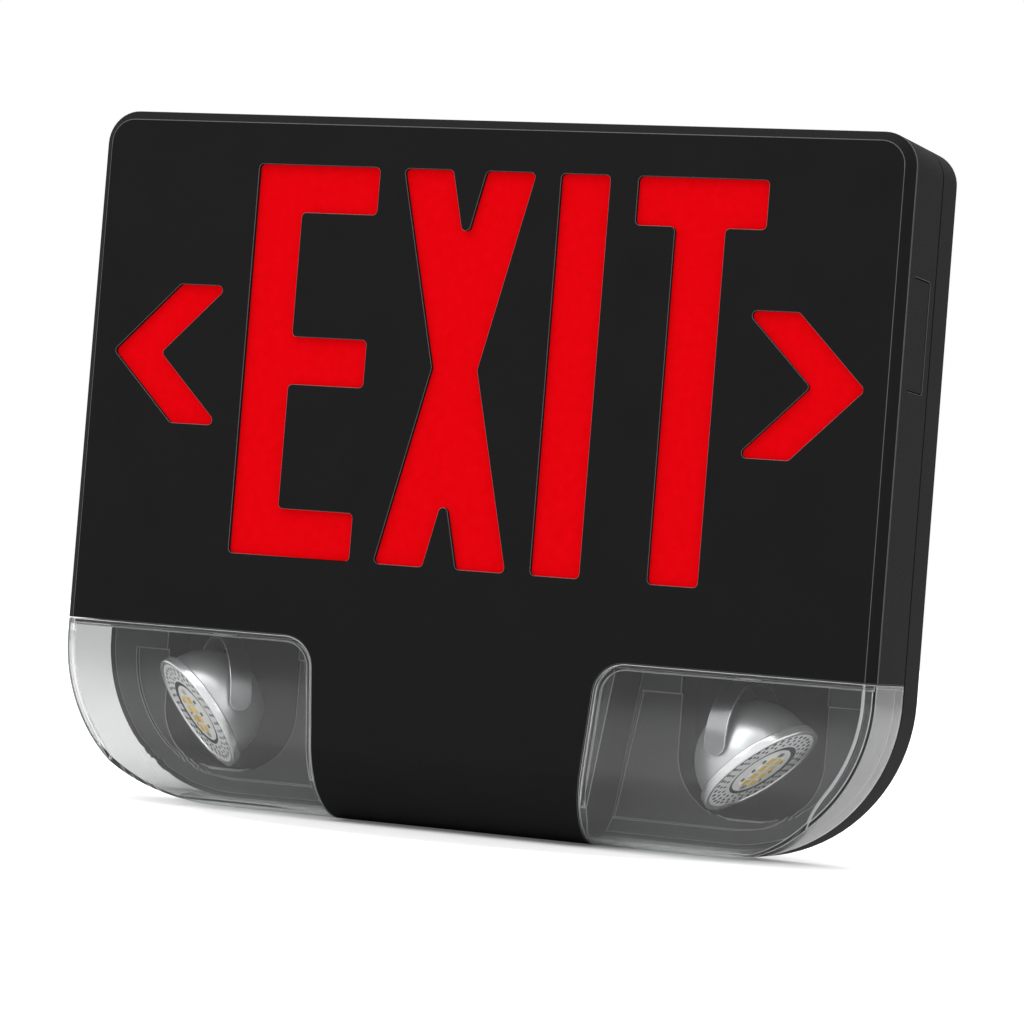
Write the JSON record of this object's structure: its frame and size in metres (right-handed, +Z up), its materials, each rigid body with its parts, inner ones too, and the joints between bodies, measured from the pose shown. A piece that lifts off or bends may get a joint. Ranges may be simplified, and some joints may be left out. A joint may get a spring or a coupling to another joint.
{
  "type": "emergency exit light",
  "caption": "Wall-mounted exit sign with stencilled red legend and arrowheads, and a swivelling lamp head behind a clear lens at each lower corner.",
  "frame": {"origin": "centre of the wire entry on the wall side of the base housing", "axes": "+X to the right as the sign is read, +Y into the wall, +Z up"},
  "size_m": [0.345, 0.06, 0.281],
  "materials": {
    "case_plastic": "fine texture",
    "clear_lens": "clear polished",
    "legend_red": "translucent satin",
    "tray_white": "white reflector",
    "tray_grey": "smooth dark grey",
    "board_white": "white solder mask",
    "board_green": "solder mask",
    "phosphor": "yellow phosphor",
    "red_led": "clear red",
    "bracket_steel": "satin",
    "fastener_steel": "zinc plated",
    "lamp_metal": "satin",
    "ring_metal": "bright turned",
    "core_steel": "laminated",
    "coil_wrap": "yellow tape",
    "relay_case": "moulded",
    "terminal_green": "moulded",
    "battery_wrap": "heat-shrunk sleeve",
    "button_grey": "moulded",
    "status_red": "clear red",
    "switch_black": "moulded"
  },
  "bodies": {
    "case": {"front_cover": "case_plastic", "base_housing": "case_plastic", "side_cover": "case_plastic", "right_lens": "clear_lens", "left_lens": "clear_lens", "legend_panel": "legend_red", "light_tray": "tray_white", "lower_led_strip": "board_white", "upper_led_strip": "board_white", "legend_leds": "red_led", "right_lamp_tray": "tray_grey", "left_lamp_tray": "tray_grey", "left_swivel_washer": "fastener_steel", "right_swivel_washer": "fastener_steel", "charger_board": "board_green", "board_screws": "fastener_steel", "transformer_core": "core_steel", "transformer_coil": "coil_wrap", "relay": "relay_case", "terminal_block": "terminal_green", "test_switch": "switch_black", "status_light": "status_red", "battery_pack": "battery_wrap", "battery_clip": "bracket_steel", "clip_screws": "fastener_steel"},
    "left_bracket": {"left_lamp_bracket": "bracket_steel", "left_swivel_nut": "fastener_steel"},
    "left_lamp": {"left_lamp_shell": "lamp_metal", "left_lamp_ring": "ring_metal", "left_heat_sink": "lamp_metal", "left_led_board": "board_white", "left_led_chips": "phosphor"},
    "right_bracket": {"right_lamp_bracket": "bracket_steel", "right_swivel_nut": "fastener_steel"},
    "right_lamp": {"right_lamp_shell": "lamp_metal", "right_lamp_ring": "ring_metal", "right_heat_sink": "lamp_metal", "right_led_board": "board_white", "right_led_chips": "phosphor"},
    "test_button": {"test_button": "button_grey", "switch_plunger": "button_grey"}
  },
  "joints": [
    {"name": "left_lamp_pan", "type": "hinge", "parent": "case", "child": "left_bracket", "pos_m": [-0.1133, -0.02899, -0.09609], "axis": [0, 0, 1], "range_deg": [-39, 130]},
    {"name": "left_lamp_tilt", "type": "hinge", "parent": "left_bracket", "child": "left_lamp", "pos_m": [-0.1133, -0.02899, -0.09609], "axis": [0.6984, -0.7157, 0], "range_deg": [-31, 48]},
    {"name": "right_lamp_pan", "type": "hinge", "parent": "case", "child": "right_bracket", "pos_m": [0.1133, -0.02899, -0.09609], "axis": [0, 0, 1], "range_deg": [-165, 4]},
    {"name": "right_lamp_tilt", "type": "hinge", "parent": "right_bracket", "child": "right_lamp", "pos_m": [0.1133, -0.02899, -0.09609], "axis": [0.1633, 0.9866, 0], "range_deg": [-43, 36]},
    {"name": "test_button_press", "type": "slide", "parent": "case", "child": "test_button", "axis": [0, 0, 1], "range_m": [0, 0.0012], "stiffness_N_per_m": 400, "springref_m": -0.0015}
  ]
}
